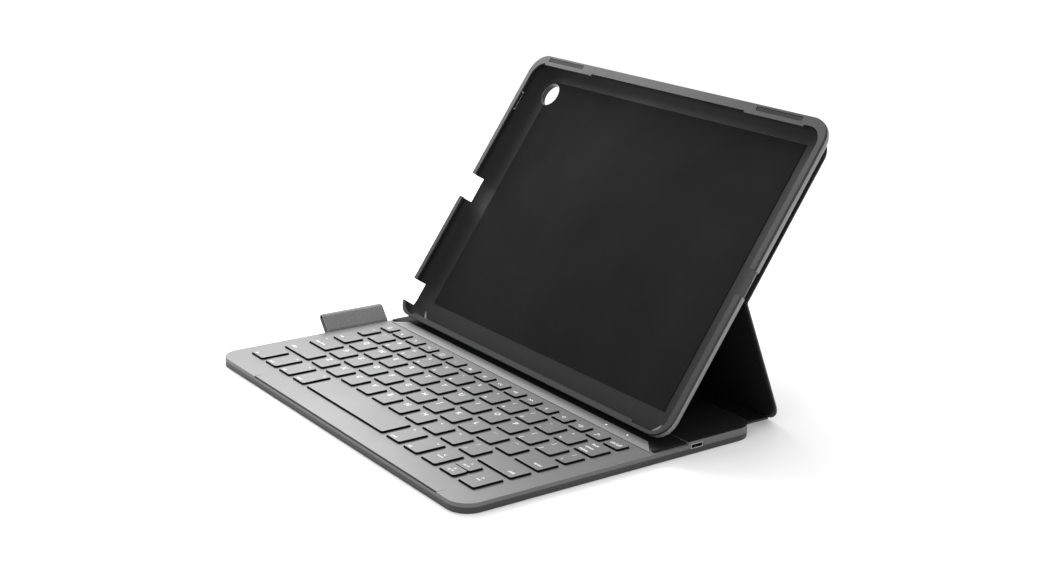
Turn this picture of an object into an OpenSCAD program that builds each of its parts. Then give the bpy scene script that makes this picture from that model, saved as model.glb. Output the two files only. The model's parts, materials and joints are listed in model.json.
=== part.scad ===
// Folio keyboard case for a 9.7-inch-class tablet, standing open in its typing pose.
// Origin: middle of the base's underside. +X is right, +Y towards the spine, +Z up. Millimetres.

/* [Base] */
// Width of the keyboard base
base_w = 242.8; // [242.8:0.2:250]
// Depth of the keyboard base
base_d = 173.2; // [173.2:0.2:176]
// Corner radius of the base in plan
base_r = 11; // [9:0.5:13]
// Height of the key deck above the table
deck_z = 4.9; // [4.8:0.1:5.2]
// Height of the raised rear deck above the table
rear_z = 6.4; // [6.2:0.1:7]
// Height of the seam between the top deck and the bottom housing
seam_z = 2.9; // [2.8:0.1:3]

/* [Keys] */
// Left edge of the key field
field_l = -111.4; // [-112:0.1:-110]
// Right edge of the key field
field_r = 108.6; // [108:0.1:110]
// Distance from one letter key to the next
key_pitch = 16.2; // [16:0.1:16.4]
// Gap between neighbouring key tops
key_gap = 4.1; // [3.8:0.1:4.5]
// Distance from one row to the next
row_pitch = 15.28; // [15.2:0.02:15.4]
// Front to back size of a letter key
key_depth = 11.8; // [11:0.1:12]
// Height of the key tops above the deck
key_stand = 1.1; // [0.9:0.1:1.1]
// How far a key goes down
key_travel = 1; // [0.8:0.1:1]

/* [Folio] */
// Thickness of the outer skin
skin_t = 0.8; // [0.6:0.1:0.9]
// Spine length, from the base's hinge line to the foot fold
spine_len = 21; // [20:0.5:23]
// Length of the lower back panel, from the foot fold to the back fold
panel_len = 72.8; // [72:0.2:74]
// Width of the back panels
panel_w = 232; // [226:1:236]
// Width of the spine
spine_w = 214; // [206:1:220]
// Angle of the lower back panel in the typing pose
panel_angle = 112.1; // [111:0.1:113]

/* [Tray] */
// Angle of the tray in the typing pose
tray_angle = 55.13; // [54:0.1:56]
// Outer width of the tray
tray_w = 242.8; // [242.6:0.2:244]
// Width of the tablet that the tray holds
tablet_w = 240; // [239:0.5:240]
// Height of the tablet that the tray holds
tablet_h = 169.5; // [169:0.5:169.5]
// Thickness of the tablet that the tray holds
tablet_t = 7.5; // [7:0.1:7.5]

/* [Hidden] */

eps = 0.01;
half_w = base_w / 2;
half_d = base_d / 2;
wall = 1.6;
floor_top = 1.5;
plate_t = 0.3;
sheet_t = 0.3;
sheet_top = floor_top + plate_t + sheet_t;
deck_t = 1.2;

// Key rows. The front edge of the lowest row is row_y0.
row_y0 = -71.4;
bottom_depth = 16.4;
row_y1 = row_y0 + 20.05;
function_depth = 7.6;
half_key_gap = 0.7;
cap_top = deck_z + key_stand;
cap_t = 1.6;
cap_plate = 0.8;
cap_wall = 1;
well_gap = 0.35;
corner_cut = 0.7;
function_pitch = 13.97;
function_gap = 3;
left_mod_pitch = 15.65;
right_mod_pitch = 15.87;
mod_gap = 3.9;
first_number = -103.8;
first_upper = -97.8;
first_middle = -92.6;
first_lower = -84.5;
first_function = -101;
first_mod = -98.8;
space_right = 28.7;

function row_y(i) = row_y1 + i * row_pitch;

// A row from its first key's right edge: the keys between keep one pitch, and the last one fills the field.
function row_x(right, count, pitch, gap) = [
  for (i = [0 : count - 1]) [
    i == 0 ? field_l : right + gap + (i - 1) * pitch,
    i == count - 1 ? field_r : right + i * pitch
  ]
];
function boxes(xs, y, depth) = [for (x = xs) [x[0], y, x[1] - x[0], depth]];
function pick(list, from, to) = [for (i = [from : to]) list[i]];

lower_row = boxes(row_x(first_lower, 12, key_pitch, key_gap), row_y(0), key_depth);
middle_row = boxes(row_x(first_middle, 13, key_pitch, key_gap), row_y(1), key_depth);
upper_row = boxes(row_x(first_upper, 14, key_pitch, key_gap), row_y(2), key_depth);
number_row = boxes(row_x(first_number, 14, key_pitch, key_gap), row_y(3), key_depth);
function_row = boxes(row_x(first_function, 16, function_pitch, function_gap), row_y(4), function_depth);

left_mods = boxes(
  [for (i = [0 : 3]) [
    i == 0 ? field_l : first_mod + mod_gap + (i - 1) * left_mod_pitch,
    first_mod + i * left_mod_pitch
  ]],
  row_y0, bottom_depth);
space_left = first_mod + 3 * left_mod_pitch + mod_gap;
space = [[space_left, row_y0, space_right - space_left, bottom_depth]];
right_x = [for (i = [0 : 4]) space_right + mod_gap + i * right_mod_pitch];
mod_w = right_mod_pitch - mod_gap;
half_depth = (bottom_depth - half_key_gap) / 2;
right_mods = [for (i = [0 : 1]) [right_x[i], row_y0, mod_w, bottom_depth]];
left_arrow = [[right_x[2], row_y0, mod_w, bottom_depth]];
down_arrow = [[right_x[3], row_y0, mod_w, half_depth]];
up_arrow = [[right_x[3], row_y0 + half_depth + half_key_gap, mod_w, half_depth]];
right_arrow = [[right_x[4], row_y0, field_r - right_x[4], bottom_depth]];
all_keys = concat(lower_row, middle_row, upper_row, number_row, function_row, left_mods, space,
                  right_mods, left_arrow, down_arrow, up_arrow, right_arrow);

// Dock: a low ramp with mitred ends, then a pad, then the raised rear deck.
strip_y = 21.8;
strip_d = 6;
strip_h = 1.3;
strip_edge = 0.15;
strip_half = 118;
mitre = 8.5;
step_y = 43;
pad_top = 5.95;
rear_pad_t = 0.2;
led_x = [80, 96.5];
led_y = strip_y + 3.8;
led_size = [1.6, 1, 0.5];
pipe_r = 0.6;
pipe_top = 5.65;
notch_x = [-77.6, 101.6];
notch_w = 0.3;
groove_w = 0.35;
fine_cut = 0.25;
edge_chamfer = 0.9;

socket_y = 48.6;
socket_w = 7.6;
socket_h = 2.5;
socket_z = 2.5;
socket_len = 5.4;

head_r = 1.4;
head_h = 0.5;
screw_r = 0.7;
boss_r = 1.9;
screw_xy = [
  for (x = [-117, 117], y = [-76, -28, 20, 62]) [x, y],
  for (x = [-45, 60]) [x, 82.3]
];

// Height of the deck's underside at y
function under_deck(y) = (y > step_y + wall ? rear_z : deck_z) - deck_t;

// Folds, seen from the right: rear hinge, foot fold and back fold.
skin_mid = skin_t / 2;
rear_y = half_d + 0.7;
foot_y = rear_y + spine_len;
crease_y = foot_y + panel_len * cos(panel_angle);
crease_z = skin_mid + panel_len * sin(panel_angle);
crease_r = skin_mid;
fold_room = 0.75;
board_t = 1;
lining_t = 0.4;
board_room = 2.6;
lining_back = 0.6;
panel_r = 10;

// Tray frame: x across, y up the tray from the bottom of the screen, z out of the screen.
screen_inset = 10.85;
tablet_low = -screen_inset;
tablet_high = tablet_low + tablet_h;
tray_low = tablet_low - 0.85;
tray_high = tablet_high + 3.25;
rim_low = -0.35;
rim_top = 1.3;
tray_back = -tablet_t - 1.1;
floor_n = tray_back + 0.8;
lining_n = floor_n + 0.25;
back_stack = 2.1;
crease_up = 66.3;
curve_top = -0.6;
curve_a = 15;
curve_b = curve_top - tray_back;
hollow_a = 13;
hollow_b = curve_top - floor_n;
fit_gap = 0.15;
camera_x = -103.5;
camera_up = 142;
camera_r = 7;
pad_x = [[-108, -75.5], [69, 101.8]];
volume_x = [-92, -80.5];
volume_w = 9.4;
power_up = 126;
power_w = 11;

module outline(w, d, r) {
  square([w - 2 * r, d], center = true);
  square([w, d - 2 * r], center = true);
  for (sx = [-1, 1], sy = [-1, 1])
    translate([sx * (w / 2 - r), sy * (d / 2 - r)]) circle(r = r, $fn = 48);
}

module slab(w, d, r, z0, z1) {
  translate([0, 0, z0]) linear_extrude(z1 - z0) outline(w, d, r);
}

module bar(x0, x1, y0, y1, z0, z1) {
  translate([x0, y0, z0]) cube([x1 - x0, y1 - y0, z1 - z0]);
}

// A key's outline, grown by g, with its corners cut.
module key_outline(k, g) {
  c = corner_cut;
  x0 = k[0] - g;
  x1 = k[0] + k[2] + g;
  y0 = k[1] - g;
  y1 = k[1] + k[3] + g;
  polygon([[x0 + c, y0], [x1 - c, y0], [x1, y0 + c], [x1, y1 - c],
           [x1 - c, y1], [x0 + c, y1], [x0, y1 - c], [x0, y0 + c]]);
}

module caps(keys) {
  color("dimgray")
    for (k = keys)
      difference() {
        translate([0, 0, cap_top - cap_t]) linear_extrude(cap_t) key_outline(k, 0);
        bar(k[0] + cap_wall, k[0] + k[2] - cap_wall, k[1] + cap_wall, k[1] + k[3] - cap_wall,
            cap_top - cap_t - eps, cap_top - cap_plate);
      }
}

// Where a key's links and dome stand: one set in the middle, or three under the space bar.
function stands(k) = k[2] > 60
  ? [for (i = [-1 : 1]) [k[0] + k[2] / 2 + i * k[2] / 3, k[1] + k[3] / 2]]
  : [[k[0] + k[2] / 2, k[1] + k[3] / 2]];

link_bar = 0.6;
link_play = 0.2;
link_h = cap_top - cap_plate - sheet_top - 0.1;
function link_w(k) = min(8.6, k[2] - 3.2);
function link_l(k) = min(8.4, k[3] - 3.2);

dome_gap = 0.15;
function link_tilt(k) = asin((link_h - 1.1) / link_l(k));
// The largest dome radius that stays clear of the inner ring's side bars and end bars
function dome_room(k) =
  min(link_w(k) / 2 - 2 * link_bar - link_play,
      (link_l(k) / 2 - link_bar) * cos(link_tilt(k)) - link_bar / 2 * sin(link_tilt(k))) - dome_gap;

module link_ring(w, l, tilt) {
  rotate([tilt, 0, 0])
    difference() {
      cube([w, l, link_bar], center = true);
      cube([w - 2 * link_bar, l - 2 * link_bar, 1], center = true);
    }
}

module scissor_links() {
  color("white")
    for (k = all_keys)
      for (p = stands(k)) {
        tilt = link_tilt(k);
        translate([p[0], p[1], sheet_top + link_h / 2 + 0.05]) {
          link_ring(link_w(k), link_l(k), tilt);
          link_ring(link_w(k) - 2 * link_bar - 2 * link_play, link_l(k), -tilt);
        }
      }
}

module rubber_domes() {
  color("lightgray")
    for (k = all_keys)
      for (p = stands(k)) {
        base = min(2, dome_room(k));
        translate([p[0], p[1], sheet_top]) cylinder(h = link_h, r1 = base, r2 = base * 0.5, $fn = 24);
      }
}

module base_skin() {
  color([0.12, 0.12, 0.13]) slab(base_w, base_d, base_r, 0, skin_t);
}

module bottom_housing() {
  color([0.25, 0.25, 0.26])
    difference() {
      slab(base_w, base_d, base_r, skin_t, seam_z);
      slab(base_w - 2 * wall, base_d - 2 * wall, base_r - wall, floor_top, seam_z + eps);
      bar(half_w - wall - eps, half_w + eps, socket_y - socket_w / 2 - 0.1, socket_y + socket_w / 2 + 0.1,
          socket_z - 0.1, seam_z + eps);
      for (p = screw_xy)
        translate([p[0], p[1], skin_t - eps]) {
          cylinder(h = head_h + eps, r = head_r + 0.1, $fn = 24);
          cylinder(h = 1, r = screw_r + 0.1, $fn = 24);
        }
    }
}

module rear_half(w, d, r, y, z0, z1) {
  intersection() {
    slab(w, d, r, z0, z1);
    bar(-w, w, y, d, z0 - 1, z1 + 1);
  }
}

module top_deck() {
  color([0.5, 0.5, 0.51]) {
    difference() {
      union() {
        slab(base_w, base_d, base_r, seam_z, deck_z);
        rear_half(base_w, base_d, base_r, step_y, deck_z - 1, rear_z);
      }
      slab(base_w - 2 * wall, base_d - 2 * wall, base_r - wall, seam_z - eps, deck_z - deck_t);
      rear_half(base_w - 2 * wall, base_d - 2 * wall, base_r - wall, step_y + wall,
                deck_z - deck_t - 1, rear_z - deck_t);
      translate([0, 0, deck_z - deck_t - 1])
        linear_extrude(deck_t + 2)
          for (k = all_keys) key_outline(k, well_gap);
      bar(half_w - wall - eps, half_w + eps, socket_y - socket_w / 2 - 0.1, socket_y + socket_w / 2 + 0.1,
          seam_z - 1, socket_z + socket_h + 0.1);
      for (x = led_x) translate([x, led_y, 0]) cylinder(h = 10, r = pipe_r + 0.05, $fn = 24);
      bar(-half_w - eps, -half_w + wall + eps, loop_y - 0.1, loop_y + loop_len + 0.1,
          seam_z - 1, seam_z + loop_tab);
      translate([notch_x[0], -half_d, deck_z])
        rotate([45, 0, 0])
          translate([0, -edge_chamfer / 2, -edge_chamfer / 2])
            cube([notch_x[1] - notch_x[0], edge_chamfer, edge_chamfer]);
      for (x = notch_x)
        bar(x - notch_w / 2, x + notch_w / 2, -half_d - 1, -half_d + 4.2, deck_z - fine_cut, deck_z + 1);
      bar(-strip_half, strip_half, strip_y - groove_w, strip_y, deck_z - fine_cut, deck_z + 1);
    }
    for (p = screw_xy)
      translate([p[0], p[1], 0])
        difference() {
          translate([0, 0, floor_top]) cylinder(h = under_deck(p[1]) - floor_top, r = boss_r, $fn = 24);
          cylinder(h = 10, r = screw_r + 0.02, $fn = 24);
        }
  }
}

module housing_screws() {
  color("silver")
    for (p = screw_xy)
      translate([p[0], p[1], skin_t]) {
        cylinder(h = head_h, r = head_r, $fn = 24);
        cylinder(h = under_deck(p[1]) - skin_t, r = screw_r, $fn = 24);
      }
}

module dock_plan(y0, y1, inset) {
  polygon([[-strip_half + inset, y0], [strip_half - inset, y0],
           [strip_half - mitre - inset, y1], [-strip_half + mitre + inset, y1]]);
}

module dock_strip() {
  color([0.6, 0.6, 0.61])
    difference() {
      intersection() {
        translate([0, 0, deck_z]) linear_extrude(2) dock_plan(strip_y, strip_y + strip_d, 0);
        translate([-strip_half - 1, strip_y, deck_z])
          rotate([90, 0, 90])
            linear_extrude(2 * strip_half + 2)
              polygon([[0, 0], [strip_d, 0], [strip_d, strip_h], [0, strip_edge]]);
      }
      for (x = led_x) translate([x, led_y, 0]) cylinder(h = 10, r = pipe_r + 0.05, $fn = 24);
    }
}

module dock_pad() {
  color([0.1, 0.1, 0.11]) {
    side = half_w - wall;
    translate([0, 0, deck_z])
      linear_extrude(pad_top - deck_z)
        polygon([[-side, strip_y + 1.2], [-strip_half - 0.2, strip_y + 1.2],
                 [-strip_half + mitre - 0.4, strip_y + strip_d + 0.3],
                 [strip_half - mitre + 0.4, strip_y + strip_d + 0.3],
                 [strip_half + 0.2, strip_y + 1.2], [side, strip_y + 1.2], [side, step_y], [-side, step_y]]);
    rear_half(base_w - 2 * wall, base_d - 2 * wall, base_r - wall, step_y + 0.6, rear_z, rear_z + rear_pad_t);
  }
}

plate_half = 113.5;
plate_y0 = -78;
plate_y1 = 18.5;

module backing_plate() {
  color("slategray") bar(-plate_half, plate_half, plate_y0, plate_y1, floor_top, floor_top + plate_t);
}

module membrane_sheet() {
  color("darkseagreen") bar(-plate_half, plate_half, plate_y0, plate_y1, floor_top + plate_t, sheet_top);
}

board_x = [56, 116];
board_y = [40, 60];
tail_x = [58, 74];
chip_h = 0.9;

module membrane_tail() {
  color("goldenrod")
    bar(tail_x[0], tail_x[1], plate_y1, board_y[0], floor_top + plate_t, floor_top + plate_t + 0.2);
}

// The board lies on the housing's floor and carries the tail's connector and the controller.
module main_board() {
  controller = [96, 52, 10, 6];
  color("darkgreen") {
    bar(board_x[0], board_x[1], board_y[0], board_y[1], floor_top, socket_z);
    bar(tail_x[0], tail_x[1], board_y[0] + 0.5, board_y[0] + 2.5, socket_z, socket_z + chip_h);
    translate([controller[0], controller[1], socket_z]) cube([controller[2], controller[3], chip_h]);
  }
}

module radio_module() {
  can = [12, 10, 1.3];
  color("silver") translate([64, 48, socket_z]) cube(can);
}

module battery_cell() {
  cell = [106, 30, rear_z - deck_t - floor_top - 0.4];
  color("gainsboro") translate([-60, 50, floor_top]) cube(cell);
}

module indicator_board() {
  color("darkgreen") {
    bar(led_x[0] - 4, led_x[1] + 4, 21.5, 29, floor_top, socket_z);
    for (x = led_x)
      translate([x - led_size[0] / 2, led_y - led_size[1] / 2, socket_z]) cube(led_size);
  }
}

module light_pipes() {
  low = socket_z + led_size[2];
  color("white")
    for (x = led_x) translate([x, led_y, low]) cylinder(h = pipe_top - low, r = pipe_r, $fn = 24);
}

module charge_socket() {
  shell = 0.35;
  side = socket_w / 2 - shell;
  color("silver")
    difference() {
      bar(half_w - 0.2 - socket_len, half_w - 0.2, socket_y - socket_w / 2, socket_y + socket_w / 2,
          socket_z, socket_z + socket_h);
      bar(half_w + 0.1 - socket_len, half_w + 1, socket_y - side, socket_y + side,
          socket_z + shell, socket_z + socket_h - shell);
    }
}

module socket_tongue() {
  color("black")
    bar(half_w + 0.1 - socket_len, half_w - 1.5, socket_y - 2, socket_y + 2, socket_z + 1.2, socket_z + 1.75);
}

magnet_top = 3.5;

module dock_magnets() {
  magnet = [24, 5];
  color("lightslategray")
    for (x = [-95, -50, -5, 38])
      translate([x - magnet[0] / 2, 31, floor_top]) cube([magnet[0], magnet[1], magnet_top - floor_top]);
}

module closure_magnets() {
  color("lightslategray")
    for (p = pad_x) bar(p[0] + 6, p[1] - 6, -84.6, -80.5, floor_top, magnet_top);
}

// Pen loop: a flat band folded double, tilted out of the left seam.
loop_y = -18.5;
loop_len = 39.2;
loop_tab = 0.8;
loop_t = 0.9;
loop_room = 0.7;
loop_reach = 10;
loop_tilt = 130;

module pen_loop() {
  outer = loop_t + loop_room;
  color([0.3, 0.3, 0.31]) {
    bar(-half_w - 1.3, -half_w + wall, loop_y, loop_y + loop_len, seam_z, seam_z + loop_tab);
    translate([-half_w - 1.15, loop_y + loop_len, seam_z + 0.5])
      rotate([90, 0, 0])
        linear_extrude(loop_len)
          rotate(loop_tilt)
            difference() {
              union() {
                translate([0, -outer]) square([loop_reach, 2 * outer]);
                translate([loop_reach, 0]) circle(r = outer, $fn = 32);
              }
              translate([1.2, -loop_room]) square([loop_reach - 1.2, 2 * loop_room]);
              translate([loop_reach, 0]) circle(r = loop_room, $fn = 32);
            }
  }
}

module spine_skin() {
  color([0.12, 0.12, 0.13])
    bar(-spine_w / 2, spine_w / 2, rear_y + fold_room, foot_y - fold_room, 0, skin_t);
}

module spine_board() {
  color("tan")
    bar(-spine_w / 2 + 2, spine_w / 2 - 2, rear_y + 1.6, foot_y - board_room, skin_t, skin_t + board_t);
}

module spine_lining() {
  color([0.08, 0.08, 0.08])
    bar(-spine_w / 2 + 0.5, spine_w / 2 - 0.5, rear_y + 1.6, foot_y - board_room - lining_back,
        skin_t + board_t, skin_t + board_t + lining_t);
}

module crease_rod(w) {
  translate([-w / 2, 0, 0]) rotate([0, 90, 0]) cylinder(h = w, r = crease_r, $fn = 24);
}

module rear_crease() {
  color([0.12, 0.12, 0.13]) translate([0, rear_y, skin_mid]) crease_rod(spine_w);
}

module foot_crease() {
  color([0.12, 0.12, 0.13]) translate([0, foot_y, skin_mid]) crease_rod(spine_w);
}

// Puts its children in the lower panel's own frame: y up the panel, z towards the tray.
module on_panel() {
  translate([0, foot_y, skin_mid]) rotate([panel_angle, 0, 0]) children();
}

// A panel with its two corners at y0 rounded.
module panel_sheet(w, y0, y1, z0, z1, r) {
  translate([0, 0, z0])
    linear_extrude(z1 - z0) {
      translate([-w / 2, y0 + r]) square([w, y1 - y0 - r]);
      translate([-w / 2 + r, y0]) square([w - 2 * r, r]);
      for (sx = [-1, 1]) translate([sx * (w / 2 - r), y0 + r]) circle(r = r, $fn = 48);
    }
}

module panel_skin() {
  color([0.12, 0.12, 0.13])
    on_panel() panel_sheet(panel_w, fold_room, panel_len - fold_room, -skin_mid, skin_mid, panel_r);
}

module panel_board() {
  color("tan")
    on_panel()
      panel_sheet(panel_w - 3, board_room, panel_len - fold_room - 0.5,
                  skin_mid, skin_mid + board_t, panel_r - 1.5);
}

module panel_lining() {
  color([0.08, 0.08, 0.08])
    on_panel()
      panel_sheet(panel_w - 0.6, board_room + lining_back, panel_len - fold_room - 0.3, skin_mid + board_t,
                  skin_mid + board_t + lining_t, panel_r - 0.3);
}

module back_crease() {
  color([0.12, 0.12, 0.13]) on_panel() translate([0, panel_len, 0]) crease_rod(panel_w);
}

// Puts its children in the tray's frame.
module on_tray() {
  translate([0, crease_y, crease_z])
    rotate([tray_angle, 0, 0])
      translate([0, -crease_up, back_stack - tray_back])
        children();
}

skin_n = tray_back - back_stack;
skin_low = crease_up + fold_room;
skin_high = tray_high - 6;

module camera_hole(r) {
  translate([camera_x, camera_up, skin_n - 2]) cylinder(h = 10, r = r, $fn = 48);
}

module upper_skin() {
  color([0.12, 0.12, 0.13])
    on_tray()
      difference() {
        translate([0, skin_low + skin_high, 0])
          mirror([0, 1, 0])
            panel_sheet(panel_w, skin_low, skin_high, skin_n - skin_mid, skin_n + skin_mid, panel_r);
        camera_hole(camera_r + 2.05);
      }
}

module upper_board() {
  color("tan")
    on_tray()
      difference() {
        bar(-102, 102, skin_low + 0.5, skin_high - 4, skin_n + skin_mid, tray_back);
        camera_hole(camera_r + 2.05);
      }
}

module camera_ring() {
  color([0.2, 0.2, 0.2])
    on_tray()
      translate([camera_x, camera_up, skin_n - skin_mid])
        difference() {
          cylinder(h = tray_back - skin_n + skin_mid, r = camera_r + 2, $fn = 48);
          translate([0, 0, -1]) cylinder(h = 10, r = camera_r, $fn = 48);
        }
}

function bow(n, a, b) = n >= curve_top ? 0 : a * (1 - sqrt(max(0, 1 - pow((curve_top - n) / b, 2))));

// One level of a rounded block: its outline at depth n, drawn in by d.
corner_steps = 5;
function ring(half, low, high, r, n, d) =
  let (rr = max(r - d * 0.4, 4), x = half - d - rr, y0 = low + d * 0.12 + rr, y1 = high - d * 0.6 - rr)
  [for (q = [0 : 3], i = [0 : corner_steps])
    let (a = 90 * (q + i / corner_steps))
    [(q == 0 || q == 3 ? x : -x) + rr * cos(a), (q < 2 ? y1 : y0) + rr * sin(a), n]];

// A rounded block that curves in towards its back: a and b are the curve's reach across and through.
module tub(half, low, high, r, top, back, a, b) {
  steps = 6;
  count = 4 * (corner_steps + 1);
  depths = [top, for (i = [0 : steps]) curve_top + (back - curve_top) * sin(90 * i / steps)];
  last = len(depths) - 1;
  polyhedron(
    points = [for (n = depths) each ring(half, low, high, r, n, bow(n, a, b))],
    faces = [
      [for (j = [count - 1 : -1 : 0]) j],
      [for (j = [0 : count - 1]) last * count + j],
      for (i = [0 : last - 1], j = [0 : count - 1])
        let (k = (j + 1) % count, p = i * count, q = p + count)
        each [[p + j, p + k, q + k], [p + j, q + k, q + j]]
    ]);
}

// Edge openings, as [side, low, high] up the tray: headphone, microphone, charging.
edge_cuts = [[-1, -4.2, 9.6], [-1, 65.1, 80.4], [1, 66.4, 80.5]];
cut_depth = -6.3;

module edge_openings() {
  inner = tablet_w / 2 - 3;
  for (c = edge_cuts)
    bar(c[0] < 0 ? -tray_w : inner, c[0] < 0 ? -inner : tray_w, c[1], c[2], cut_depth, 5);
}

striker_up = [tablet_high + 0.6, tablet_high + 2];
striker_n = -3;
volume_n = [-5.6, -3.7];
power_n = [-2.4, -1.1];
button_gap = 0.3;

module tray_shell() {
  color([0.42, 0.42, 0.43])
    on_tray()
      difference() {
        tub(tray_w / 2, tray_low, tray_high, 12, rim_low, tray_back, curve_a, curve_b);
        tub(tablet_w / 2 + fit_gap, tablet_low - fit_gap, tablet_high + fit_gap, 10.5, 1,
            floor_n, hollow_a, hollow_b);
        edge_openings();
        camera_hole(camera_r);
        for (p = pad_x)
          bar(p[0], p[1], striker_up[0] - 0.1, striker_up[1] + 0.1, striker_n - 0.05, 1);
        for (x = volume_x)
          bar(x - button_gap, x + volume_w + button_gap, tablet_high - 1, tray_high + 1,
              volume_n[0] - button_gap, volume_n[1] + button_gap);
        bar(-tray_w, -tablet_w / 2 + 2, power_up - button_gap, power_up + power_w + button_gap,
            power_n[0] - button_gap, power_n[1] + button_gap);
      }
}

module tray_lining() {
  color([0.15, 0.15, 0.16])
    on_tray()
      difference() {
        bar(-104, 104, 2, 150, floor_n, lining_n);
        camera_hole(camera_r + 0.3);
      }
}

// The tray's outline, drawn in by inset.
module rim_plan(inset) {
  r = 12 - inset;
  translate([0, (tray_low + tray_high) / 2]) outline(tray_w - 2 * inset, tray_high - tray_low - 2 * inset, r);
}

// The tablet's outline, with its clearance.
module bay_plan() {
  translate([0, (tablet_low + tablet_high) / 2])
    outline(tablet_w + 2 * fit_gap, tablet_h + 2 * fit_gap, 10.5);
}

// The window inside the lip, less the wider lip below and the two tabs at the top.
lip_over = 2;
lip_low = tablet_low + 0.9;
lip_high = tablet_high - 1.8;
low_lip = [-104.5, 96.9];
high_tabs = [[-110, -65.5], [61.8, 104.5]];
tab_reach = 1;

module window_plan() {
  difference() {
    translate([0, (lip_low + lip_high) / 2]) outline(tablet_w - 2 * lip_over, lip_high - lip_low, 9);
    translate([low_lip[0], lip_low - 1]) square([low_lip[1] - low_lip[0], 1 + 1.2 * tab_reach]);
    for (t = high_tabs)
      translate([t[0], lip_high - tab_reach]) square([t[1] - t[0], 1 + tab_reach]);
  }
}

// Front rim: a lip over the tablet's edge, on a narrower neck that leaves a groove in the side.
neck_t = 0.4;
neck_inset = 0.5;
lip_inset = 0.15;
lip_under = 0.15;
pad_floor = 0.5;
pad_up = [tablet_high - 0.3, tablet_high + 1.9];

module tray_rim() {
  color([0.45, 0.45, 0.46])
    on_tray()
      difference() {
        union() {
          translate([0, 0, rim_low]) linear_extrude(neck_t + eps) rim_plan(neck_inset);
          translate([0, 0, rim_low + neck_t]) linear_extrude(rim_top - rim_low - neck_t) rim_plan(lip_inset);
        }
        translate([0, 0, rim_low - 1]) linear_extrude(lip_under - rim_low + 1) bay_plan();
        translate([0, 0, -1]) linear_extrude(4) window_plan();
        edge_openings();
        for (p = pad_x)
          bar(p[0], p[1], pad_up[0] - 0.1, pad_up[1] + 0.1, pad_floor, 3);
      }
}

module closure_pads() {
  color([0.2, 0.2, 0.2])
    on_tray()
      for (p = pad_x)
        bar(p[0] + 0.1, p[1] - 0.1, pad_up[0], pad_up[1], pad_floor, rim_top - 0.2);
}

module tray_strikers() {
  color("silver")
    on_tray()
      for (p = pad_x)
        bar(p[0] + 0.1, p[1] - 0.1, striker_up[0], striker_up[1], striker_n, rim_low);
}

module volume_cover(x) {
  color([0.3, 0.3, 0.3])
    on_tray() bar(x, x + volume_w, tablet_high + 0.8, tray_high - 0.9, volume_n[0], volume_n[1]);
}

module volume_up_cover() {
  volume_cover(volume_x[0]);
}

module volume_down_cover() {
  volume_cover(volume_x[1]);
}

module power_cover() {
  color([0.3, 0.3, 0.3])
    on_tray()
      bar(-tray_w / 2 - 0.4, -tablet_w / 2 - 0.45, power_up, power_up + power_w, power_n[0], power_n[1]);
}

base_skin();
bottom_housing();
top_deck();
dock_strip();
dock_pad();
backing_plate();
membrane_sheet();
membrane_tail();
rubber_domes();
scissor_links();
main_board();
radio_module();
battery_cell();
indicator_board();
light_pipes();
charge_socket();
socket_tongue();
dock_magnets();
closure_magnets();
housing_screws();
pen_loop();
caps(pick(function_row, 0, 0));  // home_key
caps(pick(function_row, 1, 15));  // function_keys
caps(pick(number_row, 0, 12));  // number_keys
caps(pick(number_row, 13, 13));  // delete_key
caps(pick(upper_row, 0, 0));  // tab_key
caps(pick(upper_row, 1, 13));  // upper_letter_keys
caps(pick(middle_row, 0, 0));  // caps_key
caps(pick(middle_row, 1, 11));  // middle_letter_keys
caps(pick(middle_row, 12, 12));  // enter_key
caps(pick(lower_row, 0, 0));  // left_shift_key
caps(pick(lower_row, 1, 10));  // lower_letter_keys
caps(pick(lower_row, 11, 11));  // right_shift_key
caps(left_mods);  // left_modifier_keys
caps(space);  // space_bar
caps(right_mods);  // right_modifier_keys
caps(left_arrow);  // left_arrow_key
caps(up_arrow);  // up_arrow_key
caps(down_arrow);  // down_arrow_key
caps(right_arrow);  // right_arrow_key
spine_skin();
spine_board();
spine_lining();
rear_crease();
foot_crease();
panel_skin();
panel_board();
panel_lining();
back_crease();
upper_skin();
upper_board();
tray_shell();
tray_rim();
tray_lining();
tray_strikers();
camera_ring();
closure_pads();
volume_up_cover();
volume_down_cover();
power_cover();
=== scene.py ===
import bpy
import json
import math
from mathutils import Matrix, Vector


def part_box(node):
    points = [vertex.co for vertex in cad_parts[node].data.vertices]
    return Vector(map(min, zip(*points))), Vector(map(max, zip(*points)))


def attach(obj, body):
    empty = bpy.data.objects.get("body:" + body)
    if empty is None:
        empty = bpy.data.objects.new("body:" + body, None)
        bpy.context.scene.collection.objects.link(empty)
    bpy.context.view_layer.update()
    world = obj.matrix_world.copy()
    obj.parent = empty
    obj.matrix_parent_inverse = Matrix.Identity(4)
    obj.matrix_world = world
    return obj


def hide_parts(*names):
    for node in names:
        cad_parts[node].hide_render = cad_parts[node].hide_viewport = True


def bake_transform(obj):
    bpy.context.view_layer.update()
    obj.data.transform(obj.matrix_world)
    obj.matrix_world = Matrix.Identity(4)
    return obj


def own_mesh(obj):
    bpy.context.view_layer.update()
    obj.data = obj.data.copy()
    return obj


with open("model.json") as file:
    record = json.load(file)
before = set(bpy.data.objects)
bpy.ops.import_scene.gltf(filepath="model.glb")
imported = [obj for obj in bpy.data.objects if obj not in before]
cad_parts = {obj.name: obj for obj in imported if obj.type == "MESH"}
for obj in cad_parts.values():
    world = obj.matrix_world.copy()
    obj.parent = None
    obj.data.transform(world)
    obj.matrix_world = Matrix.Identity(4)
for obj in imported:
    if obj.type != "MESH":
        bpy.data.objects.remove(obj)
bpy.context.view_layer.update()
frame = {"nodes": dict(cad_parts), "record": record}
record = frame["record"]
nodes = frame["nodes"]
bodyOf = {n: body for body, names in record["behaviour"]["bodies"].items() for n in names}
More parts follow.
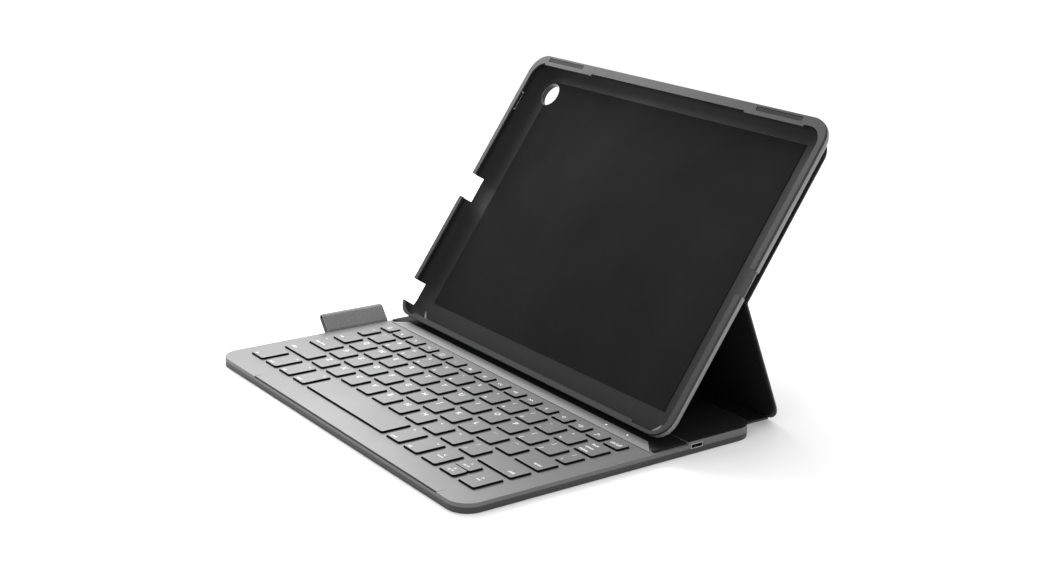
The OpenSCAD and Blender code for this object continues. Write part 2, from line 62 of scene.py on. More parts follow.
slotOf = {part["node"]: part["material_slot"] for part in record["subparts"]}
jointOf = {joint["name"]: joint for joint in record["behaviour"]["joints"]}
mm = 0.001
mergeDistance = 0.004 * mm
print("frame loaded:", len(nodes), "nodes")


def selectOnly(obj):
    bpy.ops.object.select_all(action="DESELECT")
    obj.select_set(True)
    bpy.context.view_layer.objects.active = obj


def applyAll(obj):
    selectOnly(obj)
    for modifier in list(obj.modifiers):
        bpy.ops.object.modifier_apply(modifier=modifier.name)


def smooth(obj, angle):
    selectOnly(obj)
    bpy.ops.object.shade_smooth_by_angle(angle=math.radians(angle))


def paint(obj, *materials):
    obj.data.materials.clear()
    for material in materials:
        obj.data.materials.append(material)


def place(obj, body, slot, *replaced):
    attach(obj, body)
    if replaced:
        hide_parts(*replaced)


def join(pieces, name):
    bpy.ops.object.select_all(action="DESELECT")
    for piece in pieces:
        piece.select_set(True)
    bpy.context.view_layer.objects.active = pieces[0]
    bpy.ops.object.join()
    joined = bpy.context.object
    joined.name = name
    return joined


# Shader groups, made once and used by every finish.

def newGroup(name, inputs, outputs):
    group = bpy.data.node_groups.new(name, "ShaderNodeTree")
    for label, value in inputs:
        socket = group.interface.new_socket(name=label, in_out="INPUT", socket_type="NodeSocketFloat")
        socket.default_value = value
    for label in outputs:
        group.interface.new_socket(name=label, in_out="OUTPUT", socket_type="NodeSocketFloat")
    return group, group.nodes.new("NodeGroupInput"), group.nodes.new("NodeGroupOutput")


def mathNode(tree, operation, first, second=None):
    node = tree.nodes.new("ShaderNodeMath")
    node.operation = operation
    for index, value in enumerate((first, second)):
        if value is None:
            continue
        if isinstance(value, (int, float)):
            node.inputs[index].default_value = value
        else:
            tree.links.new(value, node.inputs[index])
    return node.outputs[0]


# Spark-eroded mould texture: fine pits over a soft orange peel.
def makeGrain():
    group, given, out = newGroup("mouldGrain", [("Scale", 2500.0)], ["Height", "Tone"])
    coord = group.nodes.new("ShaderNodeTexCoord")
    pits = group.nodes.new("ShaderNodeTexVoronoi")
    peel = group.nodes.new("ShaderNodeTexNoise")
    peel.inputs["Detail"].default_value = 3
    group.links.new(coord.outputs["Object"], pits.inputs["Vector"])
    group.links.new(coord.outputs["Object"], peel.inputs["Vector"])
    group.links.new(given.outputs["Scale"], pits.inputs["Scale"])
    group.links.new(mathNode(group, "MULTIPLY", given.outputs["Scale"], 0.6), peel.inputs["Scale"])
    height = mathNode(group, "ADD", mathNode(group, "MULTIPLY", pits.outputs["Distance"], 0.6),
                      peel.outputs["Fac"])
    group.links.new(height, out.inputs["Height"])
    group.links.new(peel.outputs["Fac"], out.inputs["Tone"])
    return group


# Faint handling marks and dust: large soft patches.
def makeDust():
    group, given, out = newGroup("handling", [("Scale", 18.0)], ["Mask"])
    coord = group.nodes.new("ShaderNodeTexCoord")
    cloud = group.nodes.new("ShaderNodeTexNoise")
    cloud.inputs["Detail"].default_value = 5
    cloud.inputs["Roughness"].default_value = 0.6
    group.links.new(coord.outputs["Object"], cloud.inputs["Vector"])
    group.links.new(given.outputs["Scale"], cloud.inputs["Scale"])
    group.links.new(cloud.outputs["Fac"], out.inputs["Mask"])
    return group


# Plain weave: warp along x, weft along the mean of y and z, one thread over the other.
def makeWeave():
    group, given, out = newGroup("plainWeave", [("Threads", 2200.0)], ["Height", "Tone"])
    coord = group.nodes.new("ShaderNodeTexCoord")
    axes = group.nodes.new("ShaderNodeSeparateXYZ")
    fuzz = group.nodes.new("ShaderNodeTexNoise")
    fuzz.inputs["Scale"].default_value = 900
    group.links.new(coord.outputs["Object"], axes.inputs["Vector"])
    group.links.new(coord.outputs["Object"], fuzz.inputs["Vector"])
    along = mathNode(group, "ADD", axes.outputs["Y"], axes.outputs["Z"])
    warp = mathNode(group, "SINE", mathNode(group, "MULTIPLY", axes.outputs["X"], given.outputs["Threads"]))
    weft = mathNode(group, "SINE", mathNode(group, "MULTIPLY", along, given.outputs["Threads"]))
    crossing = mathNode(group, "MULTIPLY", warp, weft)
    height = mathNode(group, "MULTIPLY_ADD", crossing, 0.5)
    group.links.new(height, out.inputs["Height"])
    group.links.new(mathNode(group, "ADD", mathNode(group, "MULTIPLY", crossing, 0.25), fuzz.outputs["Fac"]),
                    out.inputs["Tone"])
    return group


grainGroup = makeGrain()
dustGroup = makeDust()
weaveGroup = makeWeave()


def useGroup(tree, group, value):
    node = tree.nodes.new("ShaderNodeGroup")
    node.node_tree = group
    node.inputs[0].default_value = value
    return node


# How strongly the handling marks change a finish's roughness, and how large they are.
handling = {"scale": 18, "low": 0.3, "high": 0.7, "swing": 0.06}


def newMaterial(name, look):
    material = bpy.data.materials.new(name)
    material.use_nodes = True
    tree = material.node_tree
    shader = tree.nodes["Principled BSDF"]
    surface = useGroup(tree, weaveGroup if look.get("woven") else grainGroup, look["scale"])
    dust = useGroup(tree, dustGroup, handling["scale"])
    tone = tree.nodes.new("ShaderNodeMix")
    tone.data_type = "RGBA"
    dark = [c * (1 - look["vary"]) for c in look["colour"]] + [1]
    light = [min(1, c * (1 + look["vary"])) for c in look["colour"]] + [1]
    tone.inputs["A"].default_value = dark
    tone.inputs["B"].default_value = light
    mixed = mathNode(tree, "ADD", mathNode(tree, "MULTIPLY", surface.outputs["Tone"], 0.5),
                     mathNode(tree, "MULTIPLY", dust.outputs["Mask"], 0.5))
    tree.links.new(mixed, tone.inputs["Factor"])
    tree.links.new(tone.outputs["Result"], shader.inputs["Base Color"])
    rough = tree.nodes.new("ShaderNodeMapRange")
    rough.inputs["From Min"].default_value = handling["low"]
    rough.inputs["From Max"].default_value = handling["high"]
    rough.inputs["To Min"].default_value = look["rough"] - handling["swing"]
    rough.inputs["To Max"].default_value = look["rough"] + handling["swing"]
    tree.links.new(dust.outputs["Mask"], rough.inputs["Value"])
    tree.links.new(rough.outputs["Result"], shader.inputs["Roughness"])
    bump = tree.nodes.new("ShaderNodeBump")
    bump.inputs["Strength"].default_value = look.get("bump", 0.2)
    bump.inputs["Distance"].default_value = look.get("depth", 0.00003)
    tree.links.new(surface.outputs["Height"], bump.inputs["Height"])
    tree.links.new(bump.outputs["Normal"], shader.inputs["Normal"])
    shader.inputs["Metallic"].default_value = look.get("metal", 0)
    shader.inputs["Specular IOR Level"].default_value = look.get("specular", 0.5)
    shader.inputs["Sheen Weight"].default_value = look.get("sheen", 0)
    # A painted glow: white emission that makes the part shine, though it is no lamp.
    if "paintedGlow" in look:
        shader.inputs["Emission Color"].default_value = (1, 1, 1, 1)
        shader.inputs["Emission Strength"].default_value = look["paintedGlow"]
    return material


# One look for each of the record's material slots. Scale is in cells a metre, threads in radians a metre.
looks = {
    "cover_skin": dict(colour=(0.030, 0.030, 0.032), vary=0.25, rough=0.62, scale=1900, bump=0.35),
    "housing_plastic": dict(colour=(0.020, 0.020, 0.021), vary=0.15, rough=0.5, scale=2600),
    "deck_plastic": dict(colour=(0.128, 0.128, 0.131), vary=0.08, rough=0.42, scale=3200, bump=0.25),
    "strip_plastic": dict(colour=(0.150, 0.150, 0.153), vary=0.07, rough=0.58, scale=3000, bump=0.15),
    "dark_pad": dict(colour=(0.006, 0.006, 0.006), vary=0.2, rough=0.7, scale=2200, bump=0.3, specular=0.2),
    "key_plastic": dict(colour=(0.128, 0.128, 0.131), vary=0.07, rough=0.42, scale=3600, bump=0.2),
    "steel": dict(colour=(0.55, 0.55, 0.56), vary=0.1, rough=0.28, scale=1500, bump=0.08, metal=1),
    "membrane_film": dict(colour=(0.35, 0.42, 0.36), vary=0.1, rough=0.3, scale=900, bump=0.05),
    "dome_rubber": dict(colour=(0.45, 0.45, 0.45), vary=0.08, rough=0.55, scale=1800),
    "link_plastic": dict(colour=(0.12, 0.12, 0.12), vary=0.08, rough=0.4, scale=2400),
    "circuit_board": dict(colour=(0.010, 0.085, 0.030), vary=0.2, rough=0.35, scale=700, bump=0.1),
    "cell_wrap": dict(colour=(0.5, 0.5, 0.52), vary=0.1, rough=0.3, scale=300, bump=0.2, metal=0.6),
    # The clear plastic carries a painted glow.
    "clear_plastic": dict(colour=(0.9, 0.9, 0.9), vary=0.03, rough=0.25, scale=1500, bump=0.05, paintedGlow=0.35),
    "black_plastic": dict(colour=(0.008, 0.008, 0.008), vary=0.1, rough=0.3, scale=2600, bump=0.1),
    "magnet": dict(colour=(0.55, 0.55, 0.58), vary=0.06, rough=0.2, scale=1000, bump=0.05, metal=1),
    "loop_fabric": dict(colour=(0.155, 0.155, 0.158), vary=0.55, rough=0.85, scale=5200, bump=0.9,
                        depth=0.0002, woven=True, sheen=0.3),
    "stiffener": dict(colour=(0.014, 0.014, 0.014), vary=0.2, rough=0.85, scale=1200, bump=0.3,
                      specular=0.2),
    "lining_fabric": dict(colour=(0.004, 0.004, 0.004), vary=0.3, rough=0.92, scale=9000, bump=0.5,
                          depth=0.00006, woven=True, specular=0.15),
    "tray_plastic": dict(colour=(0.170, 0.170, 0.172), vary=0.12, rough=0.48, scale=2400, bump=0.4,
                         depth=0.00005),
    "rim_plastic": dict(colour=(0.026, 0.026, 0.027), vary=0.08, rough=0.5, scale=3000, bump=0.2,
                        specular=0.25),
    "pad_rubber": dict(colour=(0.012, 0.012, 0.012), vary=0.15, rough=0.65, scale=2000, bump=0.25,
                       specular=0.2),
}
finishes = {slot: newMaterial(slot, look) for slot, look in looks.items()}
# Painted highlight: a lighter grey for the upper facets of the key caps' broken edges.
keyEdgePaintedHighlight = newMaterial("keyEdgePaintedHighlight", dict(colour=(0.24, 0.24, 0.245), vary=0.05, rough=0.35, scale=3600,
                                      bump=0.1))
# Near-black painted shade for the key caps' walls, the key wells' walls and the inside of the pen loop.
paintedShade = newMaterial("paintedShade", dict(colour=(0.004, 0.004, 0.004), vary=0.1, rough=0.7, scale=2600,
                                        specular=0.08))
# Painted shade: a darker copy of the deck plastic for the deck's upright sides.
deckSidePaintedShade = newMaterial("deckSidePaintedShade", dict(colour=(0.095, 0.095, 0.097), vary=0.1, rough=0.5, scale=3000))
# Painted shade on the deck's broken edge, and a painted shadow on its raised rear under the tray.
deckPaintedShade = newMaterial("deckPaintedShade", dict(colour=(0.012, 0.012, 0.012), vary=0.1, rough=0.5, scale=3000,
                                          specular=0.3))
legendInk = newMaterial("legendInk", dict(colour=(0.80, 0.80, 0.80), vary=0.05, rough=0.5, scale=5000,
                                          bump=0.1))
threadCotton = newMaterial("threadCotton", dict(colour=(0.06, 0.06, 0.062), vary=0.2, rough=0.8,
                                                scale=9000))
for name, node in nodes.items():
    paint(node, finishes[slotOf[name]])
print("finishes made:", len(bpy.data.materials))


cornerAngle = math.radians(32)  # a sharper edge than this is broken


# An edge that passes the wide test gets the bevel's full width, and the others get a share of it.
def weighEdges(mesh, wide, share):
    normals = {}
    for face in mesh.polygons:
        for key in face.edge_keys:
            normals.setdefault(key, []).append(face.normal)
    weights = mesh.attributes.new("bevel_weight_edge", "FLOAT", "EDGE")
    for edge in mesh.edges:
        pair = normals.get(edge.key, [])
        if len(pair) == 2 and pair[0].angle(pair[1]) > cornerAngle:
            ends = [mesh.vertices[i].co for i in edge.vertices]
            weights.data[edge.index].value = 1 if wide(*ends) else share


# A moulded or cut part: the node's own shape, merged, with its edges broken where a width is given, and a
# painted highlight on the bevel faces where one is given.
def softened(node, pieceName, width, segments=2, paintedEdgeHighlight=None, wide=None, share=1):
    finish = finishes[slotOf[node]]
    piece = bpy.data.objects.new(pieceName, nodes[node].data.copy())
    bpy.context.collection.objects.link(piece)
    paint(piece, *([finish] if paintedEdgeHighlight is None else [finish, paintedEdgeHighlight]))
    selectOnly(piece)
    bpy.ops.object.mode_set(mode="EDIT")
    bpy.ops.mesh.select_all(action="SELECT")
    bpy.ops.mesh.remove_doubles(threshold=mergeDistance)
    if width:
        bpy.ops.mesh.dissolve_limited(angle_limit=math.radians(0.5))
        bpy.ops.mesh.quads_convert_to_tris(ngon_method="CLIP")
    bpy.ops.object.mode_set(mode="OBJECT")
    if wide is not None:
        weighEdges(piece.data, wide, share)
    if width:
        bevel = piece.modifiers.new("edges", "BEVEL")
        bevel.width = width
        bevel.segments = segments
        bevel.limit_method = "ANGLE" if wide is None else "WEIGHT"
        bevel.angle_limit = cornerAngle
        bevel.material = 0 if paintedEdgeHighlight is None else 1
        applyAll(piece)
    smooth(piece, 40)
    flatten = piece.modifiers.new("flatFaces", "WEIGHTED_NORMAL")
    flatten.keep_sharp = True
    applyAll(piece)
    place(piece, bodyOf[node], slotOf[node], node)
    return piece


# Paints a second material, here always painted shade, onto the faces that pass a test on their centre and
# normal.
def repaintFaces(piece, material, test):
    if material.name not in piece.data.materials:
        piece.data.materials.append(material)
    index = piece.data.materials.find(material.name)
    for face in piece.data.polygons:
        if test(face.center, face.normal):
            face.material_index = index


# Each moulded part's piece, and the width of its broken edges in mm.
edgeBreaks = {
    "base_skin": ("coverUnderBase", 0.25), "bottom_housing": ("lowerHousing", 0.18),
    "dock_strip": ("dockRamp", 0.06), "dock_pad": ("dockPads", 0.08),
    "charge_socket": ("chargeSocketShell", 0.08), "socket_tongue": ("chargeSocketTongue", 0.06),
    "spine_board": ("spineStiffener", 0.2), "spine_lining": ("spineInside", 0.12),
    "panel_board": ("panelStiffener", 0.2), "panel_lining": ("panelInside", 0.12),
    "upper_skin": ("trayCover", 0.22), "upper_board": ("trayCoverStiffener", 0.2),
    "tray_shell": ("trayTub", 0), "tray_rim": ("trayLip", 0.2), "tray_lining": ("trayInside", 0.06),
    "camera_ring": ("cameraCollar", 0.15), "closure_pads": ("closureFaces", 0.12),
    "volume_up_cover": ("volumeUpCap", 0.25), "volume_down_cover": ("volumeDownCap", 0.25),
    "power_cover": ("powerCap", 0.2),
}
moulded = {node: softened(node, pieceName, width * mm) for node, (pieceName, width) in edgeBreaks.items()}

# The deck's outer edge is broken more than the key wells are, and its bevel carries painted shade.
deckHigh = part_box("top_deck")[1]
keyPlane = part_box("dock_strip")[0].z
deckEdge = {"width": 0.4 * mm, "segments": 3, "share": 0.2, "reach": 12 * mm, "slack": 0.05 * mm}


def onDeckEdge(first, second):
    onTop = min(first.z, second.z) > keyPlane - deckEdge["slack"]
    across = min(abs(first.x), abs(second.x)) > deckHigh.x - deckEdge["reach"]
    along = min(abs(first.y), abs(second.y)) > deckHigh.y - deckEdge["reach"]
    return onTop and (across or along)


deck = softened("top_deck", "keyDeck", deckEdge["width"], deckEdge["segments"], None, onDeckEdge,
                deckEdge["share"])

# The tray's own directions at rest, from its cover's flat back.
backHinge = Vector(jointOf["crease_fold"]["pos_m"])
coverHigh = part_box("upper_skin")[1]
trayUp = Vector((0, coverHigh.y - backHinge.y, coverHigh.z - backHinge.z)).normalized()
trayOut = Vector((0, -trayUp.z, trayUp.y))
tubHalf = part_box("tray_shell")[1].x
liningLow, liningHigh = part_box("tray_lining")
bayMiddle = (liningLow + liningHigh) / 2
bayEdge = {"sideWall": 1.15 * mm, "backWall": 2.8 * mm, "cutReach": 5 * mm, "tilt": 0.3}
# Painted shade: a near-black copy of the tray plastic for the walls and floor facing into the tray's bay.
bayPaintedShade = newMaterial("bayPaintedShade", dict(colour=(0.010, 0.010, 0.010), vary=0.12, rough=0.6,
                                                scale=2400, specular=0.15))


# True on the walls and floor that face into the tray's bay.
def facesBay(centre, normal):
    outerSide = abs(centre.x) > tubHalf - bayEdge["sideWall"]
    if outerSide or (centre - backHinge).dot(trayOut) < bayEdge["backWall"]:
        return False
    onFloor = normal.dot(trayOut) > bayEdge["tilt"]
    onSide = normal.x * centre.x < -1e-6
    awayFromCuts = abs(centre.x) < tubHalf - bayEdge["cutReach"]
    onEnd = awayFromCuts and normal.dot(trayUp) * (centre - bayMiddle).dot(trayUp) < -1e-6
    return onFloor or onSide or onEnd


# Paints the shade into the bay.
repaintFaces(moulded["tray_shell"], bayPaintedShade, facesBay)

# Painted shade: the deck's broken edge is dark, its raised rear under the tray carries a painted shadow, its
# upright sides are a darker grey and the key wells' walls are black.
# A face counts as level above one slope, and as upright below another.
plateLow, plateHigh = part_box("backing_plate")
deckSlope = {"level": 0.85, "upright": 0.1, "wellWall": 0.3, "rearStep": 1 * mm}


def overPlate(centre):
    return plateLow.x < centre.x < plateHigh.x and plateLow.y < centre.y < plateHigh.y


repaintFaces(deck, deckPaintedShade, lambda centre, normal: (
    not overPlate(centre) and (normal.z < deckSlope["level"] or centre.z > keyPlane + deckSlope["rearStep"])))
repaintFaces(deck, deckSidePaintedShade, lambda centre, normal: (
    not overPlate(centre) and abs(normal.z) < deckSlope["upright"]))
repaintFaces(deck, paintedShade, lambda centre, normal: (
    abs(normal.z) < deckSlope["wellWall"] and overPlate(centre)))
print("moulded parts finished:", len(edgeBreaks))


# Boxes of a node's separate keys, from left to right.
def keyBoxes(piece):
    mesh = piece.data
    links = {}
    for edge in mesh.edges:
        a, b = edge.vertices
        links.setdefault(a, []).append(b)
        links.setdefault(b, []).append(a)
    boxes = []
    seen = set()
    for start in links:
        if start in seen:
            continue
        queue = [start]
        seen.add(start)
        points = []
        while queue:
            current = queue.pop()
            points.append(mesh.vertices[current].co)
            for other in links[current]:
                if other not in seen:
                    seen.add(other)
                    queue.append(other)
        low = Vector([min(p[i] for p in points) for i in range(3)])
        high = Vector([max(p[i] for p in points) for i in range(3)])
        boxes.append((low, high))
    return sorted(boxes, key=lambda box: box[0].x)


# Sizes of the marks, how heavy they are, and how far they stand in from the cap's edges.
legendStyle = {"lift": 0.02 * mm, "side": 2.3 * mm, "end": 1.1 * mm, "apart": 0.35 * mm, "raised": 3 * mm,
               "capHeight": 0.7, "heavy": 0.014,
               "size": {"letter": 4.3 * mm, "sign": 2.9 * mm, "word": 2.5 * mm, "line": 2.6 * mm,
                        "tiny": 2.0 * mm, "icon": 3.1 * mm}}


def writeLegend(words, size, x, y, z, align):
    bpy.ops.object.select_all(action="DESELECT")
    bpy.ops.object.text_add(location=(0, 0, 0))
    text = bpy.context.object
    text.data.body = words
    text.data.size = size
    text.data.offset = size * legendStyle["heavy"]
    text.data.align_x = align
    text.data.resolution_u = 3
    bpy.ops.object.convert(target="MESH")
    text = bpy.context.object
    text.data.transform(Matrix.Translation((x, y, z + legendStyle["lift"])))
    return text


# Marks of one key: words, style and a spot, which is a level and a side. The levels are u at the cap's far
# edge, n just past its middle, m on it, s just before it, w raised off the near edge and d at the near edge.
def markKey(box, marks):
    low, high = box
    side, end = legendStyle["side"], legendStyle["end"]
    middle = (low.y + high.y) / 2
    made = []
    for words, style, spot in marks:
        size = legendStyle["size"][style]
        tall = size * legendStyle["capHeight"]
        x = {"l": low.x + side, "r": high.x - side, "c": (low.x + high.x) / 2}[spot[1]]
        y = {"u": high.y - end - tall, "d": low.y + end, "m": middle - tall / 2,
             "w": low.y + legendStyle["raised"],
             "n": middle + legendStyle["apart"], "s": middle - tall - legendStyle["apart"]}[spot[0]]
        align = {"l": "LEFT", "r": "RIGHT", "c": "CENTER"}[spot[1]]
        made.append(writeLegend(words, size, x, y, high.z, align))
    return made


def letterMarks(row):
    return [[(letter, "letter", "ul")] for letter in row]


def pairMarks(uppers, lowers):
    return [[(upper, "sign", "ul"), (lower, "sign", "dl")] for upper, lower in zip(uppers, lowers)]


iconRow = ["o", "*-", "*+", "[ ]", "::", "Aa", "#", "<<", ">II", ">>", "x", "<)", "<))", "[>", "on/off"]
keyMarks = {
    "home_key": [[("[]", "icon", "mc")]],
    "function_keys": [[(icon, "icon", "mc")] for icon in iconRow],
    "number_keys": pairMarks("~!@#$%^&*()_+", "`1234567890-="),
    "delete_key": [[("back", "line", "ul"), ("space", "line", "ml"), ("delete", "line", "dl")]],
    "tab_key": [[("tab", "word", "wl")]],
    "upper_letter_keys": letterMarks("QWERTYUIOP") + pairMarks("{}|", "[]\\"),
    "caps_key": [[("caps lock", "word", "wl"), ("o", "tiny", "ul")]],
    "middle_letter_keys": letterMarks("ASDFGHJKL") + [[("; :", "sign", "ul")], [("' \"", "sign", "ul")]],
    "enter_key": [[("enter", "line", "wr")]],
    "left_shift_key": [[("shift", "line", "wl")]],
    "lower_letter_keys": letterMarks("ZXCVBNM") + pairMarks("<>?", ",./"),
    "right_shift_key": [[("shift", "line", "wr")]],
    "left_modifier_keys": [[("fn", "word", "dl")], [("ctrl", "word", "dl"), ("^", "sign", "ur")],
                           [("alt", "word", "dl"), ("~", "sign", "ur")],
                           [("cmd", "word", "dl"), ("+", "sign", "ur")]],
    "space_bar": [[]],
    "right_modifier_keys": [[("cmd", "word", "dl"), ("+", "sign", "ul")],
                            [("alt", "word", "dl"), ("~", "sign", "ur")]],
    "left_arrow_key": [[("<", "sign", "nc"), ("home", "tiny", "sc")]],
    "up_arrow_key": [[("^", "sign", "nc"), ("pg up", "tiny", "sc")]],
    "down_arrow_key": [[("v", "sign", "nc"), ("pg dn", "tiny", "sc")]],
    "right_arrow_key": [[(">", "sign", "nc"), ("end", "tiny", "sc")]],
}
capEdge = {"width": 0.13 * mm, "segments": 2, "level": 0.7}
underKey = {"rubber_domes": "domes", "scissor_links": "links"}


# The domes or links that stand under one group of keys.
def squashUnder(source, node, boxes):
    piece = bpy.data.objects.new(node + "_" + underKey[source], nodes[source].data.copy())
    bpy.context.collection.objects.link(piece)
    selectOnly(piece)
    bpy.ops.object.mode_set(mode="EDIT")
    bpy.ops.mesh.select_all(action="SELECT")
    bpy.ops.mesh.remove_doubles(threshold=mergeDistance)
    bpy.ops.mesh.select_all(action="DESELECT")
    bpy.ops.object.mode_set(mode="OBJECT")
    for vertex in piece.data.vertices:
        x, y = vertex.co.x, vertex.co.y
        vertex.select = not any(low.x < x < high.x and low.y < y < high.y for low, high in boxes)
    bpy.ops.object.mode_set(mode="EDIT")
    bpy.ops.mesh.delete(type="VERT")
    bpy.ops.object.mode_set(mode="OBJECT")
    smooth(piece, 40)
    paint(piece, finishes[slotOf[source]])
    place(piece, "base", slotOf[source], source)
    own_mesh(piece)


for node, rowMarks in keyMarks.items():
    capsName = node.replace("_key", "").replace("_bar", "Bar") + "_caps"
    # Painted highlight on the caps' bevel faces.
    caps = softened(node, capsName, capEdge["width"], capEdge["segments"], keyEdgePaintedHighlight)
    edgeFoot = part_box(node)[1].z - capEdge["width"]
    # Painted shade on the caps' walls and lower bevel facets.
    repaintFaces(caps, paintedShade, lambda centre, normal: normal.z < capEdge["level"] or centre.z < edgeFoot)
    written = []
    boxes = keyBoxes(caps)
    for box, marks in zip(boxes, rowMarks):
        written += markKey(box, marks)
    for source in underKey:
        squashUnder(source, node, boxes)
    if written:
        ink = join(written, caps.name.replace("_caps", "_legends"))
        paint(ink, legendInk)
        place(ink, bodyOf[node], slotOf[node])
print("keys marked:", len(keyMarks), "groups")


# The folio's skin runs over its three folds.
skinThick = 0.8 * mm
rearHinge = Vector(jointOf["spine_fold"]["pos_m"])
footHinge = Vector(jointOf["panel_fold"]["pos_m"])
panelUp = (backHinge - footHinge).normalized()
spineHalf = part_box("spine_skin")[1].x
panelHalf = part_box("panel_skin")[1].x


# A skin lofted along stations of (centre, half width), flat across.
def coverStrip(name, stations, across=32):
    bpy.ops.object.select_all(action="DESELECT")
    bpy.ops.mesh.primitive_grid_add(x_subdivisions=across, y_subdivisions=len(stations) - 1, size=1)
    strip = bpy.context.object
    strip.name = name
    for index, vertex in enumerate(strip.data.vertices):
        column = index % (across + 1)
        centre, half = stations[index // (across + 1)]
        vertex.co = Vector(((2 * column / across - 1) * half, centre.y, centre.z))
    thick = strip.modifiers.new("thickness", "SOLIDIFY")
    thick.thickness = skinThick
    thick.offset = 0
    thick.use_even_offset = True
    applyAll(strip)
    selectOnly(strip)
    bpy.ops.object.mode_set(mode="EDIT")
    bpy.ops.mesh.select_all(action="SELECT")
    bpy.ops.mesh.normals_make_consistent(inside=False)
    bpy.ops.object.mode_set(mode="OBJECT")
    smooth(strip, 50)
    paint(strip, finishes["cover_skin"])
    return strip


# The points of a fold from one flat to the next, bending close round its hinge line.
def foldPath(hinge, before, after, room, steps=8):
    start = hinge - before * room
    end = hinge + after * room
    path = []
    for i in range(steps + 1):
        t = i / steps
        path.append(start * (1 - t) ** 2 + hinge * 2 * t * (1 - t) + end * t ** 2)
    return path


def cornerHalf(along, radius, half):
    if along >= radius:
        return half
    return half - radius + math.sqrt(max(0, radius ** 2 - (radius - along) ** 2))


# Room is how near its hinge a fold bends, and lead is the last station on the flat before it. A little of
# the panel's area is lost to its round corners and the fold.
foldLook = {"room": 0.75 * mm, "lead": 3 * mm, "rearLead": 0.2 * mm, "gap": 0.05 * mm,
            "panelCorner": 10 * mm, "cornerSteps": 12, "midPanel": 36 * mm, "areaShare": 0.985}
ahead = Vector((0, 1, 0))
room = foldLook["room"]
halfSpine = (footHinge - rearHinge).length / 2
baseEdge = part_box("base_skin")[1].y
midSpine = rearHinge + ahead * halfSpine

stations = [(Vector((0, baseEdge, rearHinge.z)), spineHalf),
            (rearHinge - ahead * foldLook["rearLead"], spineHalf), (rearHinge, spineHalf),
            (rearHinge + ahead * room, spineHalf), (midSpine, spineHalf)]
rearFold = coverStrip("coverRearFold", stations)
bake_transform(rearFold)
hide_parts("rear_crease")

stations = [(midSpine, spineHalf), (footHinge - ahead * foldLook["lead"], spineHalf)]
stations += [(p, spineHalf) for p in foldPath(footHinge, ahead, panelUp, room)]
radius = foldLook["panelCorner"]
for i in range(foldLook["cornerSteps"] + 1):
    along = radius * (1 - math.cos(math.pi / 2 * i / foldLook["cornerSteps"]))
    centre = footHinge + panelUp * (room + foldLook["gap"] + along)
    stations.append((centre, cornerHalf(along, radius, panelHalf)))
stations.append((footHinge + panelUp * foldLook["midPanel"], panelHalf))
footFold = coverStrip("coverFootFold", stations)
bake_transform(footFold)
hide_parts("foot_crease", "spine_skin")

stations = [(footHinge + panelUp * foldLook["midPanel"], panelHalf),
            (backHinge - panelUp * foldLook["lead"], panelHalf)]
stations += [(p, panelHalf) for p in foldPath(backHinge, panelUp, trayUp, room)]
backFold = coverStrip("coverBackFold", stations)
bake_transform(backFold)
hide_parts("back_crease", "panel_skin")
print("cover folded")


# The pen loop is an elastic band, folded flat and sewn into the left seam.
# Squareness and sharpness shape its flat section.
loopLook = {"tilt": 130, "reach": 11.6 * mm, "wall": 0.9 * mm, "halfThick": 1.5 * mm, "rounding": 40,
            "squareness": 1.5, "sharpness": 1.4, "rimBreak": 0.15 * mm, "inside": 0.3 * mm,
            "rootOut": 1.15 * mm, "rootUp": 0.5 * mm}
loopLow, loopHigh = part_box("pen_loop")
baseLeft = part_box("base_skin")[0].x
loopTilt = math.radians(loopLook["tilt"])


def penLoop():
    reach = loopLook["reach"]
    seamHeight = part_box("bottom_housing")[1].z
    root = Vector((baseLeft - loopLook["rootOut"], 0, seamHeight + loopLook["rootUp"]))
    bpy.ops.object.select_all(action="DESELECT")
    bpy.ops.mesh.primitive_cylinder_add(vertices=loopLook["rounding"], radius=1, depth=1,
                                        end_fill_type="NOTHING")
    band = bpy.context.object
    band.name = "penLoopBand"
    bpy.ops.object.mode_set(mode="EDIT")
    bpy.ops.mesh.select_all(action="SELECT")
    bpy.ops.mesh.subdivide(number_cuts=1)
    bpy.ops.object.mode_set(mode="OBJECT")
    length = loopHigh.y - loopLow.y
    outward = Vector((math.cos(loopTilt), 0, math.sin(loopTilt)))
    across = Vector((-math.sin(loopTilt), 0, math.cos(loopTilt)))
    for vertex in band.data.vertices:
        a, b, c = vertex.co
        flat = math.copysign(min(1, abs(b) * loopLook["squareness"]) ** loopLook["sharpness"], b)
        spot = root + outward * (reach * (0.5 + 0.5 * a)) + across * (loopLook["halfThick"] * flat)
        vertex.co = Vector((spot.x, loopLow.y + length * (0.5 + c), spot.z))
    thick = band.modifiers.new("thickness", "SOLIDIFY")
    thick.thickness = loopLook["wall"]
    thick.offset = -1
    rim = band.modifiers.new("rim", "BEVEL")
    rim.width = loopLook["rimBreak"]
    rim.segments = 2
    rim.limit_method = "ANGLE"
    applyAll(band)
    selectOnly(band)
    bpy.ops.object.mode_set(mode="EDIT")
    bpy.ops.mesh.select_all(action="SELECT")
    bpy.ops.mesh.normals_make_consistent(inside=False)
    bpy.ops.object.mode_set(mode="OBJECT")
    smooth(band, 50)
    paint(band, finishes["loop_fabric"])
    middle = root + outward * (reach / 2)
    # Painted shade inside the folded band's gap.
    repaintFaces(band, paintedShade, lambda centre, normal: (
        abs(normal.y) < 0.5
        and abs((centre - middle).dot(across)) < loopLook["halfThick"] - loopLook["inside"]
        and normal.dot(across) * (centre - middle).dot(across) < 0))
    place(band, "base", "loop_fabric", "pen_loop")
    return root, outward, across


loopRoot, loopOut, loopAcross = penLoop()


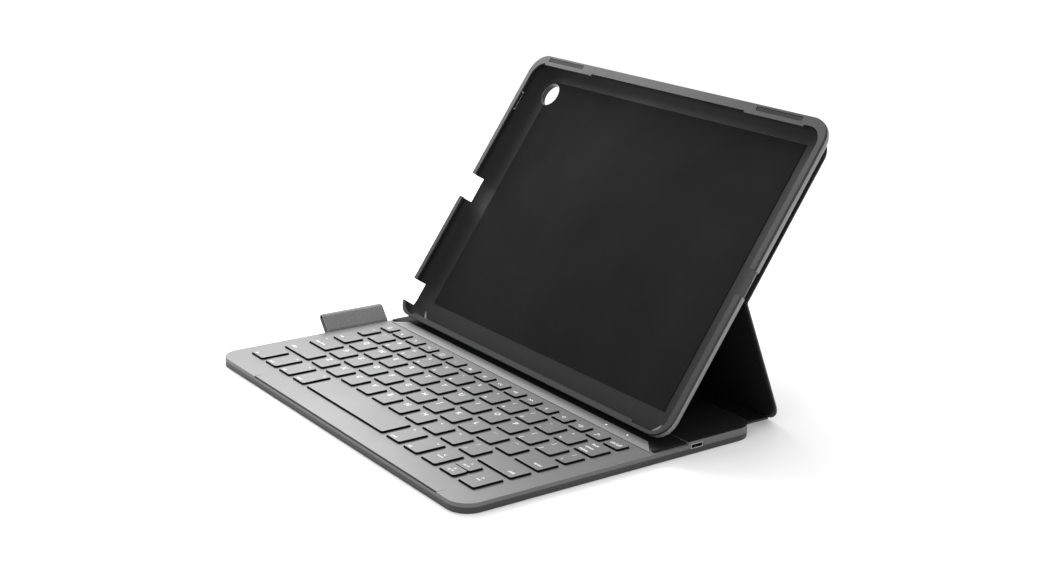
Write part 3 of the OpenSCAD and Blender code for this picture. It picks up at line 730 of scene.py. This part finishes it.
# Stitches along the band's foot, one modelled and the rest copied.
def sewLoop():
    stitch = {"length": 1.5 * mm, "thick": 0.16 * mm, "pitch": 2.3 * mm, "up": 2.0 * mm, "sunk": 0.93,
              "margin": 2 * mm, "start": 1.6 * mm}
    bpy.ops.object.select_all(action="DESELECT")
    bpy.ops.mesh.primitive_uv_sphere_add(segments=8, ring_count=6, radius=1)
    first = bpy.context.object
    first.data.transform(Matrix.Diagonal((stitch["thick"], stitch["length"] / 2, stitch["thick"], 1)))
    made = []
    count = int((loopHigh.y - loopLow.y - stitch["margin"]) / stitch["pitch"])
    for i in range(count):
        copy = bpy.data.objects.new("stitch", first.data.copy())
        bpy.context.collection.objects.link(copy)
        spot = loopRoot + loopOut * stitch["up"] + loopAcross * loopLook["halfThick"] * stitch["sunk"]
        y = loopLow.y + stitch["start"] + (i + 0.5) * stitch["pitch"]
        copy.data.transform(Matrix.Translation((spot.x, y, spot.z)))
        made.append(copy)
    bpy.data.objects.remove(first)
    seam = join(made, "penLoopSeam")
    smooth(seam, 60)
    paint(seam, threadCotton)
    place(seam, "base", "loop_fabric")


sewLoop()
print("pen loop sewn")


# The floor, lights, world and camera, which aren't part of the case.
floorLook = {"colour": (0.96, 0.96, 0.96), "vary": 0.01, "rough": 0.6, "scale": 300, "bump": 0.02}
bpy.ops.object.select_all(action="DESELECT")
bpy.ops.mesh.primitive_plane_add(size=12, location=(0, 0, -0.0002))
floor = bpy.context.object
floor.name = "studioFloor"
paint(floor, newMaterial("studioFloor", floorLook))


def softBox(name, spot, target, size, power):
    bpy.ops.object.light_add(type="AREA", location=spot)
    lamp = bpy.context.object
    lamp.name = name
    lamp.data.size = size
    lamp.data.energy = power
    lamp.rotation_euler = (Vector(target) - Vector(spot)).to_track_quat("-Z", "Y").to_euler()


softBox("keyLight", (-0.44, 0.06, 0.40), (-0.06, -0.02, 0), 0.36, 3.6)
softBox("fillLight", (0.9, -1.3, 1.5), (0, 0, 0.05), 1.6, 6)
world = bpy.data.worlds.new("studio")
world.use_nodes = True
world.node_tree.nodes["Background"].inputs["Color"].default_value = (1, 1, 1, 1)
world.node_tree.nodes["Background"].inputs["Strength"].default_value = 1.06
bpy.context.scene.world = world
bpy.context.scene.view_settings.view_transform = "Standard"

view = {"eye": (676.56 * mm, -448.52 * mm, 304.77 * mm), "towards": (-0.7821, 0.5532, -0.2870),
        "roll": 0.836, "lens": 57.41}
bpy.ops.object.camera_add(location=view["eye"])
camera = bpy.context.object
camera.data.lens = view["lens"]
camera.data.sensor_width = 36
turn = Vector(view["towards"]).to_track_quat("-Z", "Y").to_matrix()
camera.rotation_euler = (turn @ Matrix.Rotation(math.radians(view["roll"]), 3, "Z")).to_euler()
bpy.context.scene.camera = camera
